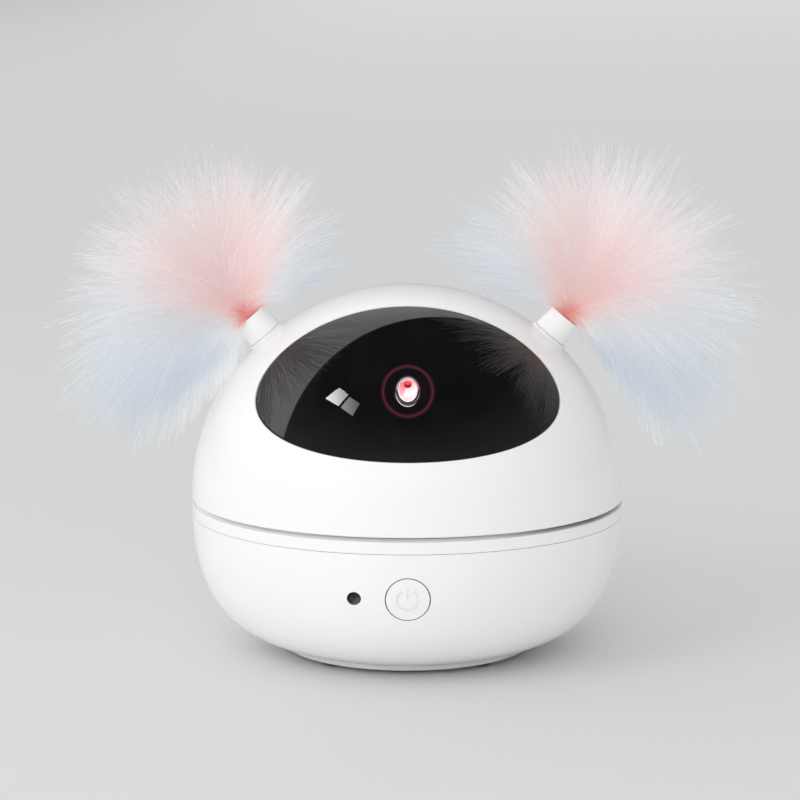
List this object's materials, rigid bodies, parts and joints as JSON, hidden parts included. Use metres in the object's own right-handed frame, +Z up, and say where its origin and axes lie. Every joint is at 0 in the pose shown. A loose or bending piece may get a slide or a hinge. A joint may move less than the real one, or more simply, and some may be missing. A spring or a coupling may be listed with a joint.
{
  "type": "automatic cat laser toy",
  "caption": "Self-turning laser toy for cats: round base, turning dome head with a tilting laser behind a black visor, and pull-off feather ears.",
  "frame": {"origin": "on the surface it rests on, under the centre of the round body", "axes": "+Z up, -Y to the front (visor, button), +X to the toy's own left ear"},
  "size_m": [0.1784, 0.11, 0.1284],
  "materials": {
    "white_shell": "glossy white",
    "white_inner": "plain moulded white",
    "black_visor": "mirror-smooth black",
    "bezel_metal": "polished",
    "nozzle_white": "glossy, lit red from behind",
    "dark_window": "smoked, glossy",
    "lamp_resin": "clear resin over a chip",
    "foot_rubber": "matte grey",
    "steel": "nickel-plated",
    "brass": "turned",
    "contact_copper": "gold-plated copper",
    "acetal": "slippery moulded plastic",
    "board_green": "green solder mask",
    "chip_black": "moulded black",
    "connector_cream": "moulded cream",
    "battery_foil": "laminated foil",
    "foam": "double-sided foam tape",
    "lead_red": "insulated wire",
    "carriage_black": "moulded black",
    "lens_glass": "clear",
    "tuft_fibre": "soft dyed down, pink at the root, pale blue at the tips"
  },
  "bodies": {
    "base": {"base_bowl": "white_shell", "base_deck": "white_shell", "bottom_cover": "white_shell", "rubber_feet": "foot_rubber", "long_screws": "steel", "thrust_washer": "acetal", "battery_pad": "foam", "battery_pack": "battery_foil", "battery_leads": "lead_red", "main_board": "board_green", "board_screws": "steel", "board_chips": "chip_black", "board_connectors": "connector_cream", "brush_block": "chip_black", "brush_fingers": "contact_copper", "tact_switch": "chip_black", "front_board": "board_green", "front_board_screws": "steel", "indicator_lens": "dark_window", "indicator_led": "lamp_resin", "charging_socket": "steel", "socket_tongue": "chip_black", "charge_board": "board_green", "charge_board_screws": "steel", "turn_motor_can": "steel", "turn_gearbox": "brass", "turn_motor_screws": "steel"},
    "turn_drive": {"turn_pinion": "acetal", "turn_shaft": "steel"},
    "button": {"power_button": "white_shell", "switch_plunger": "chip_black"},
    "head": {"dome_shell": "white_shell", "visor": "black_visor", "laser_bezel": "bezel_metal", "head_floor": "white_inner", "dome_screws": "steel", "turn_gear": "acetal", "gear_screws": "steel", "retaining_clip": "steel", "slip_ring_disc": "board_green", "slip_rings": "contact_copper", "spindle_leads": "lead_red", "head_board": "board_green", "head_board_screws": "steel", "head_connectors": "connector_cream", "laser_frame": "white_inner", "frame_screws": "steel", "tilt_motor_can": "steel", "tilt_gearbox": "brass", "tilt_motor_screws": "steel"},
    "tilt_drive": {"tilt_pinion": "acetal", "tilt_shaft": "steel"},
    "laser": {"laser_carriage": "carriage_black", "laser_barrel": "brass", "laser_lens": "lens_glass", "laser_nozzle": "nozzle_white"},
    "left_ear": {"left_ear_collar": "white_shell", "left_ear_tuft": "tuft_fibre"},
    "right_ear": {"right_ear_collar": "white_shell", "right_ear_tuft": "tuft_fibre"}
  },
  "joints": [
    {"name": "head_turn", "type": "hinge", "parent": "base", "child": "head", "pos_m": [0, 0, 0.0384], "axis": [0, 0, 1], "continuous": true},
    {"name": "turn_pinion_spin", "type": "hinge", "parent": "base", "child": "turn_drive", "pos_m": [0, 0.0248, 0], "axis": [0, 0, 1], "continuous": true},
    {"name": "laser_tilt", "type": "hinge", "parent": "head", "child": "laser", "pos_m": [0, -0.03507, 0.07401], "axis": [1, 0, 0], "range_deg": [-2.5, 2.5]},
    {"name": "tilt_pinion_spin", "type": "hinge", "parent": "head", "child": "tilt_drive", "pos_m": [0, -0.02036, 0.05931], "axis": [1, 0, 0], "range_deg": [-30, 30]},
    {"name": "button_press", "type": "slide", "parent": "base", "child": "button", "axis": [0, 1, 0], "range_m": [0, 0.0005], "stiffness_N_per_m": 1500},
    {"name": "left_ear_pull", "type": "slide", "parent": "head", "child": "left_ear", "axis": [0.6428, 0, 0.766], "range_m": [0, 0.012]},
    {"name": "right_ear_pull", "type": "slide", "parent": "head", "child": "right_ear", "axis": [-0.6428, 0, 0.766], "range_m": [0, 0.012]}
  ],
  "couplings": [
    {"joint": "turn_pinion_spin", "follows": "head_turn", "ratio": -4.1667},
    {"joint": "tilt_pinion_spin", "follows": "laser_tilt", "ratio": -3.3333}
  ]
}
